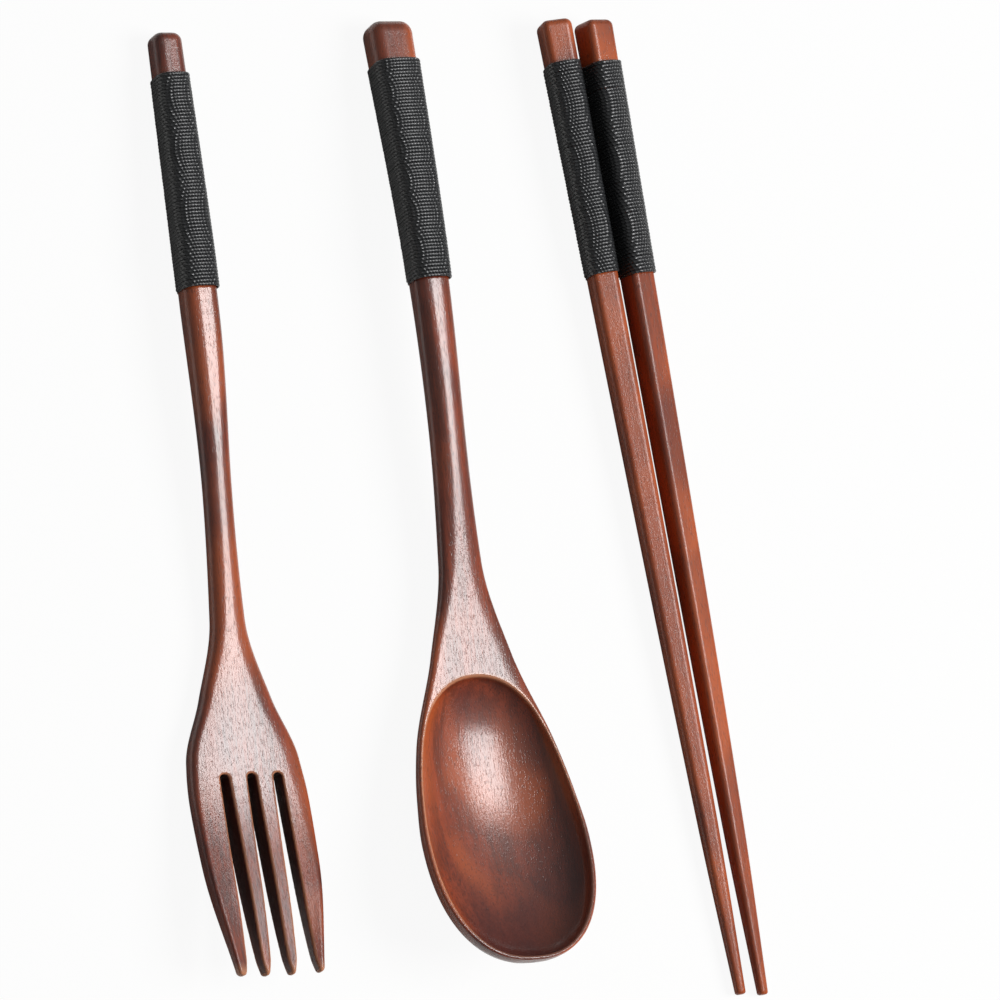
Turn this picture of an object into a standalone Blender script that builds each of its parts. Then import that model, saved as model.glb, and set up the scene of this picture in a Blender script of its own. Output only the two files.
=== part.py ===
"""A wooden cutlery set for one person: a fork, a spoon and a pair of chopsticks.

Each is one length of carved, stained wood with a black thread wound round its grip. They lie
side by side on a table, grips towards +Y and working ends towards -Y. Sizes are in metres, and
a place along a utensil is its distance from the grip end.
"""

import math
from dataclasses import dataclass
from typing import Callable

import bmesh
import bpy
import numpy as np
from mathutils import Matrix, Vector

# The thread and its winding
THREAD_PITCH = 0.0008
THREAD_THICKNESS = 0.0005
THREAD_GROOVE = 0.0002
THREAD_CLEARANCE = 0.00012
WINDING_LENGTH = 0.0496
WINDING_START = 0.0090
WINDING_END = WINDING_START + WINDING_LENGTH

# The fork
FORK_LENGTH = 0.218
FORK_END_EASING = 0.0022
FORK_END_WIDTH = 0.0071
FORK_END_THICKNESS = 0.0064
FORK_GRIP_AT = 0.064
FORK_GRIP_WIDTH = 0.0082
FORK_GRIP_THICKNESS = 0.0067
FORK_GRIP_CORNER = 0.0018
FORK_NECK_AT = 0.108
FORK_NECK_WIDTH = 0.0066
FORK_NECK_THICKNESS = 0.0052
FORK_NECK_CORNER = 0.0021
FORK_SHOULDER_AT = 0.136
FORK_SHOULDER_WIDTH = 0.0080
FORK_FLARE_AT = 0.154
FORK_FLARE_WIDTH = 0.0169
FORK_HEAD_AT = 0.1695
FORK_ROOT_AT = 0.1715
FORK_HEAD_WIDTH = 0.0279
FORK_HEAD_THICKNESS = 0.0046
FORK_TINE_AT = 0.197
FORK_TINE_THICKNESS = 0.0043
FORK_HEAD_CROWN = 0.0005
FORK_CORNER = 0.0014
FORK_TAPER_AT = 0.189
FORK_TIP_WIDTH = 0.0205
FORK_TIP_THICKNESS = 0.0026
FORK_TIP_CORNER = 0.0007
FORK_TIP_EASING = 0.0009
FORK_TIP_CUP = 0.0014
FORK_SLOT_WIDTH = 0.0022
FORK_WIDENING_AT = 0.186
FORK_WIDENING_GAP = 0.0028
FORK_SLOT_PITCH = 0.0067
FORK_TIP_SLOT_PITCH = 0.0063
FORK_TIP_GAP = 0.0040
FORK_NOSE_LENGTH = 0.0042
FORK_NOSE_WIDTH = 0.0009
FORK_ARCH_AT = 0.070
FORK_ARCH = 0.0024
FORK_BELLY_AT = 0.158
FORK_BELLY = 0.0036
FORK_TIP_RISE = 0.0064

# The spoon
SPOON_LENGTH = 0.222
SPOON_END_EASING = 0.0028
SPOON_END_WIDTH = 0.0109
SPOON_END_THICKNESS = 0.0080
SPOON_GRIP_AT = 0.058
SPOON_GRIP_WIDTH = 0.0088
SPOON_GRIP_THICKNESS = 0.0072
SPOON_GRIP_CORNER = 0.0021
SPOON_NECK_AT = 0.098
SPOON_NECK_WIDTH = 0.0083
SPOON_NECK_THICKNESS = 0.0058
SPOON_NECK_CROWN = 0.0004
SPOON_SHOULDER_AT = 0.128
SPOON_SHOULDER_WIDTH = 0.0100
SPOON_ROOT_AT = 0.1500
SPOON_ROOT_WIDTH = 0.0200
SPOON_FLARE_AT = 0.170
SPOON_FLARE_WIDTH = 0.0337
SPOON_WIDEST_AT = 0.193
SPOON_BOWL_WIDTH = 0.0406
SPOON_NOSE_SQUARENESS = 2.35
SPOON_BOWL_DEPTH = 0.0100
SPOON_FLOOR = 0.0028
SPOON_HOLLOW_AT = 0.1545
SPOON_RIM = 0.0009
SPOON_CORNER = 0.0009
SPOON_NOSE_CORNER = 0.00045
SPOON_ARCH_AT = 0.060
SPOON_ARCH = 0.0032
SPOON_BELLY_AT = 0.155
SPOON_BELLY = 0.0026
SPOON_TIP_RISE = 0.0095

# The chopsticks
CHOPSTICK_LENGTH = 0.230
CHOPSTICK_END_EASING = 0.0010
CHOPSTICK_GRIP_SIDE = 0.0074
CHOPSTICK_GRIP_CORNER = 0.0017
CHOPSTICK_SHANK_AT = 0.190
CHOPSTICK_SHANK_SIDE = 0.0043
CHOPSTICK_SHANK_CORNER = 0.0013
CHOPSTICK_TIP_DIAMETER = 0.0025
CHOPSTICK_TIP_CORNER = 0.0011
CHOPSTICK_TIP_EASING = 0.0006
CHOPSTICK_ROLL = 11.0
CHOPSTICK_GAP = 0.0008
CHOPSTICK_TIP_SPACING = 0.0056

# The gaps between neighbours on the table, how far each end stands back, and their turns
FORK_TO_SPOON = 0.0212
SPOON_TO_CHOPSTICKS = 0.0169
FORK_SETBACK = 0.0031
SPOON_SETBACK = 0.0002
SPOON_TURN = 0.7
CHOPSTICK_TURN = 4.9

# How finely the curves are cut into flat faces
CORNER_SPANS = 3
BELLY_SPANS = 4
CHOPSTICK_CORNER_SPANS = 2
THREAD_CORNER_SPANS = 2
ACROSS_SPANS = 3
EASING_SPANS = 3
HOLLOW_SPANS = 10
HOLLOW_ROWS = 12
SLOT_ROUND_SPANS = 6
NOSE_ROWS = 6
BALANCE_ROWS = 60
SLOPE_REACH = 0.0005

# The last rows of the spoon's nose and of its hollow, as angles round them, and its flat end
NOSE_REACH = math.radians(80.0)
HOLLOW_EDGE = math.radians(4.0)
NOSE_FLAT = 0.00004

# How round a section may be: corners and belly against its half sizes, an eased corner against
# the full one
FULLEST_CORNER = 0.9
FULLEST_BELLY = 0.96
LEAST_CORNER = 0.33

TINES = 4

WOOD_COLOUR = (0.205, 0.058, 0.030, 1.0)
CHOPSTICK_COLOUR = (0.290, 0.080, 0.034, 1.0)
THREAD_COLOUR = (0.022, 0.022, 0.024, 1.0)


@dataclass
class Form:
    """The shape of one utensil, each value a function of the distance from its grip end."""

    length: float
    spine: Callable  # the height of the section's middle
    half_width: Callable
    above: Callable  # from the spine to the top face
    below: Callable  # from the spine to the underside
    corner: Callable  # the radius of the section's corners
    belly: Callable = lambda distance: 0.0  # 0 on a flat underside, 1 on a fully round one
    crown: Callable = lambda distance: 0.0  # how far the top's middle stands over its sides
    cup: Callable = lambda distance: 0.0  # how far the sides of both faces turn up
    end_easing: float = 0.0
    tip_easing: float = 0.0
    roll: float = 0.0
    over_spans: int = CORNER_SPANS
    under_spans: int = CORNER_SPANS
    across_spans: int = 1


def smooth_curve(*knots):
    """A smooth curve through (distance, size) knots that never swings past a knot."""
    at, value = np.array(knots, float).T
    gap = np.diff(at)
    rise = np.diff(value) / gap
    slope = np.concatenate([rise[:1], np.zeros(len(at) - 2), rise[-1:]])
    for i in range(1, len(at) - 1):
        if rise[i - 1] * rise[i] > 0:
            near, far = 2 * gap[i] + gap[i - 1], gap[i] + 2 * gap[i - 1]
            slope[i] = (near + far) / (near / rise[i - 1] + far / rise[i])

    def size(distance):
        distance = min(max(distance, at[0]), at[-1])
        i = int(np.clip(np.searchsorted(at, distance) - 1, 0, len(gap) - 1))
        t = (distance - at[i]) / gap[i]
        ends = (2 * t**3 - 3 * t**2 + 1) * value[i] + (3 * t**2 - 2 * t**3) * value[i + 1]
        bend = (t**3 - 2 * t**2 + t) * slope[i] + (t**3 - t**2) * slope[i + 1]
        return float(ends + bend * gap[i])

    return size


def constant(size):
    return lambda distance: size


def evenly(*stops):
    """Distances along a utensil, from (distance, number of rows up to the next stop) pairs."""
    rows = []
    for (start, count), (stop, _) in zip(stops, stops[1:]):
        rows += [start + (stop - start) * k / count for k in range(count)]
    return rows + [stops[-1][0]]


def easing_rows(radius):
    """Distances from an end face over which an edge rounded to this radius is drawn."""
    return [radius * (1 - math.cos(math.pi / 2 * k / EASING_SPANS)) for k in range(EASING_SPANS)]


def eased_in(distance, radius):
    """How far an edge rounded to this radius has drawn in, at a distance from its end face."""
    short = max(radius - distance, 0.0)
    return radius - math.sqrt(radius**2 - short**2)


def corner_points(half_width, height, radius_x, radius_z, spans):
    """The (x, up) points on a rounded corner on the +X side, from the side to the top."""
    points = []
    for k in range(spans + 1):
        angle = math.pi / 2 * k / spans
        x = half_width - radius_x * (1 - math.cos(angle))
        points.append((x, height - radius_z * (1 - math.sin(angle))))
    return points


def corner_points_outside(half_width, height, radius, outsideness):
    """The corners of a polygon round the same curve, for a winding that has to clear it.

    At an outsideness of 1 the polygon's sides touch the curve, and at 0 its corners do.
    """
    turn = math.pi / 2 / THREAD_CORNER_SPANS
    stretch = 1 + (1 / math.cos(turn / 2) - 1) * outsideness
    points = []
    for k in range(THREAD_CORNER_SPANS):
        angle = (k + 0.5) * turn
        x = half_width - radius * (1 - stretch * math.cos(angle))
        points.append((x, height - radius * (1 - stretch * math.sin(angle))))
    return points


def mirrored(points):
    return [(-x, up) for x, up in reversed(points)]


def section(form, distance):
    """The closed (x, up) outline of the wood at a distance, from the +X side over the top."""
    drawn = eased_in(distance, form.end_easing) if form.end_easing else 0.0
    if form.tip_easing:
        drawn += eased_in(form.length - distance, form.tip_easing)
    half_width = form.half_width(distance) - drawn
    above = form.above(distance) - drawn
    below = form.below(distance) - drawn
    radius = max(form.corner(distance) - drawn, form.corner(distance) * LEAST_CORNER)
    radius = min(radius, FULLEST_CORNER * min(half_width, above, below))
    belly = form.belly(distance)
    belly_x = radius + (FULLEST_CORNER * half_width - radius) * belly
    belly_z = radius + (FULLEST_BELLY * below - radius) * belly

    over = corner_points(half_width, above, radius, radius, form.over_spans)
    under = corner_points(half_width, below, belly_x, belly_z, form.under_spans)
    steps = [1 - 2 * k / form.across_spans for k in range(1, form.across_spans)]
    top = over + [(step * over[-1][0], above) for step in steps] + mirrored(over)
    bottom = under + [(step * under[-1][0], below) for step in steps] + mirrored(under)
    outline = [(x, up + form.crown(distance) * (1 - (x / half_width) ** 2)) for x, up in top]
    outline += [(x, -up) for x, up in reversed(bottom)]
    return [(x, up + form.cup(distance) * (x / half_width) ** 2) for x, up in outline]


def placed(form, distance, points):
    """Stands (x, up) points square on the spine at a distance, rolled as the utensil is."""
    near = max(distance - SLOPE_REACH, 0.0)
    far = min(distance + SLOPE_REACH, form.length)
    slope = (form.spine(far) - form.spine(near)) / (far - near)
    lean = Matrix.Rotation(-math.atan(slope), 4, "X") @ Matrix.Rotation(form.roll, 4, "Y")
    middle = Vector((0, -distance, form.spine(distance)))
    return [middle + lean @ Vector((x, 0, up)) for x, up in points]


def lofted(name, rings, material, closed=True, smooth_angle=40.0):
    """Skins closed rings into a solid with flat ends, or into a tube that closes on itself."""
    mesh = bmesh.new()
    rows = [[mesh.verts.new(point) for point in ring] for ring in rings]
    following = rows[1:] if closed else rows[1:] + rows[:1]
    for near, far in zip(rows, following):
        for i in range(len(near)):
            j = (i + 1) % len(near)
            mesh.faces.new((near[i], near[j], far[j], far[i]))
    if closed:
        mesh.faces.new(rows[0])
        mesh.faces.new(rows[-1])
    bmesh.ops.recalc_face_normals(mesh, faces=mesh.faces)
    data = bpy.data.meshes.new(name)
    mesh.to_mesh(data)
    mesh.free()
    data.materials.append(material)
    data.shade_smooth()
    data.set_sharp_from_angle(angle=math.radians(smooth_angle))
    thing = bpy.data.objects.new(name, data)
    bpy.context.scene.collection.objects.link(thing)
    return thing


def cut_away(body, cutter):
    """Hides a cutter, ties it to the body and takes its shape out of the body."""
    cutter.hide_render = True
    cutter.display_type = "WIRE"
    cut = body.modifiers.new(cutter.name, "BOOLEAN")
    cut.operation = "DIFFERENCE"
    cut.solver = "EXACT"
    cut.object = cutter


def material_of(name, colour, roughness, coat):
    material = bpy.data.materials.new(name)
    material.use_nodes = True
    shader = material.node_tree.nodes["Principled BSDF"]
    shader.inputs["Base Color"].default_value = colour
    shader.inputs["Metallic"].default_value = 0.0
    shader.inputs["Roughness"].default_value = roughness
    shader.inputs["Coat Weight"].default_value = coat
    return material


def fork_form():
    """A square-edged grip, a slim neck, and a flat head whose tines rise and cup at the tips."""
    neck_half = FORK_NECK_THICKNESS / 2
    thickness = smooth_curve(
        (0.0, FORK_END_THICKNESS / 2),
        (FORK_GRIP_AT, FORK_GRIP_THICKNESS / 2),
        (FORK_NECK_AT, neck_half),
        (FORK_ROOT_AT, FORK_HEAD_THICKNESS / 2),
        (FORK_TINE_AT, FORK_TINE_THICKNESS / 2),
        (FORK_LENGTH, FORK_TIP_THICKNESS / 2),
    )
    return Form(
        length=FORK_LENGTH,
        spine=smooth_curve(
            (0.0, 0.0),
            (FORK_ARCH_AT, FORK_ARCH),
            (FORK_BELLY_AT, -FORK_BELLY),
            (FORK_LENGTH, FORK_TIP_RISE - FORK_BELLY),
        ),
        half_width=smooth_curve(
            (0.0, FORK_END_WIDTH / 2),
            (FORK_GRIP_AT, FORK_GRIP_WIDTH / 2),
            (FORK_NECK_AT, FORK_NECK_WIDTH / 2),
            (FORK_SHOULDER_AT, FORK_SHOULDER_WIDTH / 2),
            (FORK_FLARE_AT, FORK_FLARE_WIDTH / 2),
            (FORK_HEAD_AT, FORK_HEAD_WIDTH / 2),
            (FORK_TAPER_AT, FORK_HEAD_WIDTH / 2),
            (FORK_LENGTH, FORK_TIP_WIDTH / 2),
        ),
        above=thickness,
        below=thickness,
        corner=smooth_curve(
            (0.0, FORK_GRIP_CORNER),
            (FORK_GRIP_AT, FORK_GRIP_CORNER),
            (FORK_NECK_AT, FORK_NECK_CORNER),
            (FORK_ROOT_AT, FORK_CORNER),
            (FORK_LENGTH, FORK_TIP_CORNER),
        ),
        crown=smooth_curve(
            (FORK_NECK_AT, 0.0), (FORK_ROOT_AT, FORK_HEAD_CROWN), (FORK_LENGTH, 0.0)
        ),
        cup=smooth_curve((FORK_ROOT_AT, 0.0), (FORK_LENGTH, FORK_TIP_CUP)),
        end_easing=FORK_END_EASING,
        tip_easing=FORK_TIP_EASING,
        across_spans=ACROSS_SPANS,
    )


def spoon_form():
    """A thicker grip, a flat-topped neck, and an egg-shaped bowl with a round underside."""
    half_bowl = SPOON_BOWL_WIDTH / 2
    swell = smooth_curve(
        (0.0, SPOON_END_WIDTH / 2),
        (SPOON_GRIP_AT, SPOON_GRIP_WIDTH / 2),
        (SPOON_NECK_AT, SPOON_NECK_WIDTH / 2),
        (SPOON_SHOULDER_AT, SPOON_SHOULDER_WIDTH / 2),
        (SPOON_ROOT_AT, SPOON_ROOT_WIDTH / 2),
        (SPOON_FLARE_AT, SPOON_FLARE_WIDTH / 2),
        (SPOON_WIDEST_AT, half_bowl),
    )
    neck_half = SPOON_NECK_THICKNESS / 2
    depth = smooth_curve(
        (0.0, SPOON_END_THICKNESS / 2),
        (SPOON_GRIP_AT, SPOON_GRIP_THICKNESS / 2),
        (SPOON_NECK_AT, neck_half),
        (SPOON_ROOT_AT, (neck_half + SPOON_BOWL_DEPTH) / 2),
        (SPOON_WIDEST_AT, SPOON_BOWL_DEPTH),
    )

    def nose(distance):
        past = max(distance - SPOON_WIDEST_AT, 0.0) / (SPOON_LENGTH - SPOON_WIDEST_AT)
        return max(1 - past**SPOON_NOSE_SQUARENESS, 0.0) ** (1 / SPOON_NOSE_SQUARENESS)

    return Form(
        length=SPOON_LENGTH,
        spine=smooth_curve(
            (0.0, 0.0),
            (SPOON_ARCH_AT, SPOON_ARCH),
            (SPOON_BELLY_AT, -SPOON_BELLY),
            (SPOON_LENGTH, SPOON_TIP_RISE - SPOON_BELLY),
        ),
        half_width=lambda distance: swell(distance) * nose(distance),
        above=smooth_curve(
            (0.0, SPOON_END_THICKNESS / 2),
            (SPOON_GRIP_AT, SPOON_GRIP_THICKNESS / 2),
            (SPOON_NECK_AT, neck_half),
            (SPOON_ROOT_AT, SPOON_CORNER),
        ),
        below=lambda distance: SPOON_CORNER + (depth(distance) - SPOON_CORNER) * nose(distance),
        corner=smooth_curve(
            (0.0, SPOON_GRIP_CORNER),
            (SPOON_GRIP_AT, SPOON_GRIP_CORNER),
            (SPOON_ROOT_AT, SPOON_CORNER),
            (SPOON_LENGTH, SPOON_NOSE_CORNER),
        ),
        belly=smooth_curve((WINDING_END, 0.0), (SPOON_NECK_AT, 0.6), (SPOON_ROOT_AT, 1.0)),
        crown=smooth_curve(
            (WINDING_END, 0.0), (SPOON_NECK_AT, SPOON_NECK_CROWN), (SPOON_ROOT_AT, 0.0)
        ),
        end_easing=SPOON_END_EASING,
        under_spans=BELLY_SPANS,
        across_spans=ACROSS_SPANS,
    )


def chopstick_form(roll):
    """A straight stick, square with soft corners at the grip and round at the tip."""
    half_side = smooth_curve(
        (0.0, CHOPSTICK_GRIP_SIDE / 2),
        (CHOPSTICK_SHANK_AT, CHOPSTICK_SHANK_SIDE / 2),
        (CHOPSTICK_LENGTH, CHOPSTICK_TIP_DIAMETER / 2),
    )
    return Form(
        length=CHOPSTICK_LENGTH,
        spine=constant(0.0),
        half_width=half_side,
        above=half_side,
        below=half_side,
        corner=smooth_curve(
            (0.0, CHOPSTICK_GRIP_CORNER),
            (CHOPSTICK_SHANK_AT, CHOPSTICK_SHANK_CORNER),
            (CHOPSTICK_LENGTH, CHOPSTICK_TIP_CORNER),
        ),
        end_easing=CHOPSTICK_END_EASING,
        tip_easing=CHOPSTICK_TIP_EASING,
        over_spans=CHOPSTICK_CORNER_SPANS,
        under_spans=CHOPSTICK_CORNER_SPANS,
        roll=math.radians(roll),
    )


def winding(name, form, material):
    """The thread's turns round the grip, as one sleeve with a ridge for each turn."""

    def ring(distance, out, outsideness=0.5):
        half_width, radius = form.half_width(distance) + out, form.corner(distance) + out
        above = corner_points_outside(half_width, form.above(distance) + out, radius, outsideness)
        below = corner_points_outside(half_width, form.below(distance) + out, radius, outsideness)
        outline = above + mirrored(above)
        outline += [(x, -up) for x, up in reversed(below + mirrored(below))]
        return placed(form, distance, outline)

    turns = round(WINDING_LENGTH / THREAD_PITCH)
    pitch = WINDING_LENGTH / turns
    outer = THREAD_CLEARANCE + THREAD_THICKNESS
    rings = []
    for turn in range(turns):
        start = WINDING_START + turn * pitch
        rings.append(ring(start, outer - THREAD_GROOVE))
        rings.append(ring(start + pitch / 2, outer))
    rings.append(ring(WINDING_END, outer - THREAD_GROOVE))
    rings += [ring(distance, THREAD_CLEARANCE, 1.0) for distance in reversed(winding_rows())]
    return lofted(name, rings, material, closed=False, smooth_angle=60.0)


def winding_rows():
    """The rows that the wood and the inside of its winding share."""
    return evenly((WINDING_START, 2), (WINDING_END, 0))


def slot_cutter(name, root_x, tip_x, material):
    """A blade the shape of the gap between two tines: round at the root and flared at the tips."""
    half = FORK_SLOT_WIDTH / 2
    round_end = FORK_ROOT_AT + half
    nose = FORK_LENGTH - FORK_NOSE_LENGTH
    widening = smooth_curve(
        (round_end, half),
        (FORK_WIDENING_AT, FORK_WIDENING_GAP / 2),
        (nose, FORK_TIP_GAP / 2),
        (FORK_LENGTH, (FORK_TIP_SLOT_PITCH - FORK_NOSE_WIDTH) / 2),
    )
    side = []
    for k in range(SLOT_ROUND_SPANS):
        angle = math.pi / 2 * (k + 0.5) / SLOT_ROUND_SPANS
        side.append((round_end - half * math.cos(angle), half * math.sin(angle)))
    side += [(distance, widening(distance)) for distance in fork_tine_rows(round_end)]
    side.append((FORK_LENGTH + half, side[-1][1]))

    def middle(distance):
        return root_x + (tip_x - root_x) * (distance - FORK_ROOT_AT) / (FORK_LENGTH - FORK_ROOT_AT)

    outline = [(middle(distance) + x, -distance) for distance, x in side]
    outline += [(middle(distance) - x, -distance) for distance, x in reversed(side)]
    reach = FORK_HEAD_WIDTH / 2
    rings = [[Vector((x, y, height)) for x, y in outline] for height in (-reach, reach)]
    return lofted(name, rings, material)


def fork_tine_rows(start):
    nose = FORK_LENGTH - FORK_NOSE_LENGTH
    return evenly((start, 4), (nose, 3), (FORK_LENGTH, 0))


def fork(wood, thread):
    form = fork_form()
    rows = easing_rows(FORK_END_EASING) + [FORK_END_EASING] + winding_rows()
    rows += evenly(
        (WINDING_END, 3), (FORK_NECK_AT, 2), (FORK_SHOULDER_AT, 3), (FORK_FLARE_AT, 3),
        (FORK_ROOT_AT, 4), (FORK_LENGTH - FORK_NOSE_LENGTH, 3), (FORK_LENGTH - FORK_TIP_EASING, 0),
    )[1:]
    rows += [FORK_LENGTH - distance for distance in reversed(easing_rows(FORK_TIP_EASING))]
    body = lofted("fork", [placed(form, row, section(form, row)) for row in rows], wood)
    parts = [body, winding("fork_thread_wrap", form, thread)]
    for number in range(TINES - 1):
        place = number - (TINES - 2) / 2
        root_x, tip_x = place * FORK_SLOT_PITCH, place * FORK_TIP_SLOT_PITCH
        cutter = slot_cutter(f"fork_slot_cutter_{number + 1}", root_x, tip_x, wood)
        cut_away(body, cutter)
        parts.append(cutter)
    return form, parts


def spoon_hollow(form, material):
    """The hollow of the bowl: egg-shaped at the rim, deepest under the widest place."""
    end = SPOON_LENGTH - SPOON_RIM
    rings = []
    for angle in np.linspace(HOLLOW_EDGE, math.pi - HOLLOW_EDGE, HOLLOW_ROWS):
        along = -math.cos(angle)
        reach = (SPOON_WIDEST_AT - SPOON_HOLLOW_AT) if along < 0 else (end - SPOON_WIDEST_AT)
        distance = SPOON_WIDEST_AT + reach * along
        half_width = (SPOON_BOWL_WIDTH / 2 - SPOON_RIM) * math.sin(angle)
        depth = (SPOON_BOWL_DEPTH - SPOON_FLOOR) * math.sin(angle)
        top = form.above(distance)
        outline = []
        for step in range(HOLLOW_SPANS + 1):
            turn = math.pi * step / HOLLOW_SPANS
            outline.append((half_width * math.cos(turn), top - (depth + top) * math.sin(turn)))
        outline += [(-half_width, top + SPOON_BOWL_DEPTH), (half_width, top + SPOON_BOWL_DEPTH)]
        rings.append(placed(form, distance, outline))
    return lofted("spoon_hollow_cutter", rings, material)


def spoon(wood, thread):
    form = spoon_form()
    rows = easing_rows(SPOON_END_EASING) + [SPOON_END_EASING] + winding_rows()
    rows += evenly(
        (WINDING_END, 2), (SPOON_NECK_AT, 2), (SPOON_SHOULDER_AT, 3), (SPOON_ROOT_AT, 3),
        (SPOON_FLARE_AT, 2), (SPOON_WIDEST_AT, 0),
    )[1:]
    for k in range(1, NOSE_ROWS):
        past = math.sin(NOSE_REACH * k / (NOSE_ROWS - 1))
        rows.append(SPOON_WIDEST_AT + (SPOON_LENGTH - SPOON_WIDEST_AT) * past)
    rows.append(SPOON_LENGTH - NOSE_FLAT)
    body = lofted("spoon", [placed(form, row, section(form, row)) for row in rows], wood)
    hollow = spoon_hollow(form, wood)
    cut_away(body, hollow)
    return form, [body, winding("spoon_thread_wrap", form, thread), hollow]


def chopstick(side, roll, wood, thread):
    form = chopstick_form(roll)
    tip = CHOPSTICK_TIP_EASING
    rows = easing_rows(CHOPSTICK_END_EASING) + [CHOPSTICK_END_EASING] + winding_rows()
    rows += evenly((WINDING_END, 2), (CHOPSTICK_SHANK_AT, 3), (CHOPSTICK_LENGTH - tip, 0))[1:]
    rows += [CHOPSTICK_LENGTH - distance for distance in reversed(easing_rows(tip))]
    name = f"chopstick_{side}"
    body = lofted(name, [placed(form, row, section(form, row)) for row in rows], wood)
    return form, [body, winding(f"{name}_thread_wrap", form, thread)]


def resting_tilt(form, parts):
    """The tilt that lays a utensil down on the two places it touches either side of its balance."""
    rows = np.linspace(0.0, form.length, BALANCE_ROWS)
    area = [form.half_width(row) * (form.above(row) + form.below(row)) for row in rows]
    balance = -np.average(rows, weights=area)
    points = sorted({(v.co.y, v.co.z) for part in parts[:2] for v in part.data.vertices})
    under = []
    for point in points:
        while len(under) > 1 and turns_down(under[-2], under[-1], point):
            under.pop()
        under.append(point)
    near, far = next(pair for pair in zip(under, under[1:]) if pair[1][0] >= balance)
    return -math.atan2(far[1] - near[1], far[0] - near[0])


def turns_down(first, second, third):
    across = (second[0] - first[0]) * (third[1] - first[1])
    return across <= (second[1] - first[1]) * (third[0] - first[0])


def set_down(name, form, parts, x, y, turn):
    """Parents a utensil's parts to an empty that lays it on the table and turns it."""
    holder = bpy.data.objects.new(name, None)
    bpy.context.scene.collection.objects.link(holder)
    for part in parts:
        part.parent = holder
    holder.location = (x, y, 0.0)
    holder.rotation_euler = (resting_tilt(form, parts), 0.0, math.radians(turn))
    bpy.context.view_layer.update()
    lowest, _ = extent(parts[:2])
    holder.location.z = -lowest.z
    return holder


def extent(parts):
    """The lowest and highest corners of the box round some parts."""
    corners = [part.matrix_world @ v.co for part in parts for v in part.data.vertices]
    box = np.array([tuple(point) for point in corners])
    return Vector(box.min(axis=0)), Vector(box.max(axis=0))


def reach_sideways(half_side, radius, roll):
    """How far a rolled square bar with rounded corners reaches to either side of its middle."""
    flat = half_side - radius
    return flat * (abs(math.cos(roll)) + abs(math.sin(roll))) + radius


def main():
    for thing in list(bpy.data.objects):
        bpy.data.objects.remove(thing)

    carved = material_of("stained_wood", WOOD_COLOUR, 0.34, 0.3)
    turned = material_of("stained_chopstick_wood", CHOPSTICK_COLOUR, 0.36, 0.3)
    thread = material_of("black_thread", THREAD_COLOUR, 0.8, 0.0)

    fork_shape, fork_parts = fork(carved, thread)
    spoon_shape, spoon_parts = spoon(carved, thread)
    left_shape, left_parts = chopstick("left", -CHOPSTICK_ROLL, turned, thread)
    right_shape, right_parts = chopstick("right", CHOPSTICK_ROLL, turned, thread)

    wound = THREAD_CLEARANCE + THREAD_THICKNESS
    half_grip = reach_sideways(
        CHOPSTICK_GRIP_SIDE / 2 + wound, CHOPSTICK_GRIP_CORNER + wound, math.radians(CHOPSTICK_ROLL)
    )
    spoon_x = FORK_HEAD_WIDTH / 2 + FORK_TO_SPOON + SPOON_BOWL_WIDTH / 2
    left_x = spoon_x + SPOON_BOWL_WIDTH / 2 + SPOON_TO_CHOPSTICKS + half_grip
    right_x = left_x + 2 * half_grip + CHOPSTICK_GAP
    closing = math.degrees(math.atan((right_x - left_x - CHOPSTICK_TIP_SPACING) / CHOPSTICK_LENGTH))

    holders = [
        set_down("fork_rest", fork_shape, fork_parts, 0.0, -FORK_SETBACK, 0.0),
        set_down("spoon_rest", spoon_shape, spoon_parts, spoon_x, -SPOON_SETBACK, SPOON_TURN),
        set_down("left_rest", left_shape, left_parts, left_x, 0.0, CHOPSTICK_TURN),
        set_down("right_rest", right_shape, right_parts, right_x, 0.0, CHOPSTICK_TURN - closing),
    ]
    bpy.context.view_layer.update()
    lowest, highest = extent(fork_parts[:2] + spoon_parts[:2] + left_parts + right_parts)
    for holder in holders:
        holder.location.x -= (lowest.x + highest.x) / 2
        holder.location.y -= (lowest.y + highest.y) / 2
    bpy.context.view_layer.update()


main()
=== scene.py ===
"""Dresses the cutlery set: a carved fork and spoon, a pair of chopsticks and their wound grips.

Each utensil is worked out lying along its own axis, in millimetres: x is across it, "distance"
runs from its grip end to its working end and z is up. It is then laid where the CAD frame has it.
"""

import math
from dataclasses import dataclass
from typing import Callable

import bpy
import numpy as np
from mathutils import Euler, Matrix, Vector


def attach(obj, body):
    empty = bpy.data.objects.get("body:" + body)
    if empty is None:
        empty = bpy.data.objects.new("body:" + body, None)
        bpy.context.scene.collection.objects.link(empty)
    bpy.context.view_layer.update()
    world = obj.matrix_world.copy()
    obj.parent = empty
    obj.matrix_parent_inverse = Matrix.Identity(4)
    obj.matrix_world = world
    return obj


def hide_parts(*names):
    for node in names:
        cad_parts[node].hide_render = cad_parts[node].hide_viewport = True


bl_info = {
    "name": "Wooden cutlery set",
    "version": (1, 0, 0),
    "blender": (4, 5, 0),
    "location": "3D View > Sidebar > Cutlery",
    "description": "Carves a fork, a spoon and chopsticks and winds thread round their grips",
    "category": "Add Mesh",
}

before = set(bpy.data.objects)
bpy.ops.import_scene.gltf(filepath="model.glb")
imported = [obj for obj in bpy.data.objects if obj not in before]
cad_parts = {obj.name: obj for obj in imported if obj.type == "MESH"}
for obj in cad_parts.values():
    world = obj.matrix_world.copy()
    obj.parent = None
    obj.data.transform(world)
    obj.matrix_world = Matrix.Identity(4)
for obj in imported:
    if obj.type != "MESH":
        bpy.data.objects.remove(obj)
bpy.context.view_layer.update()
MM = 0.001

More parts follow.
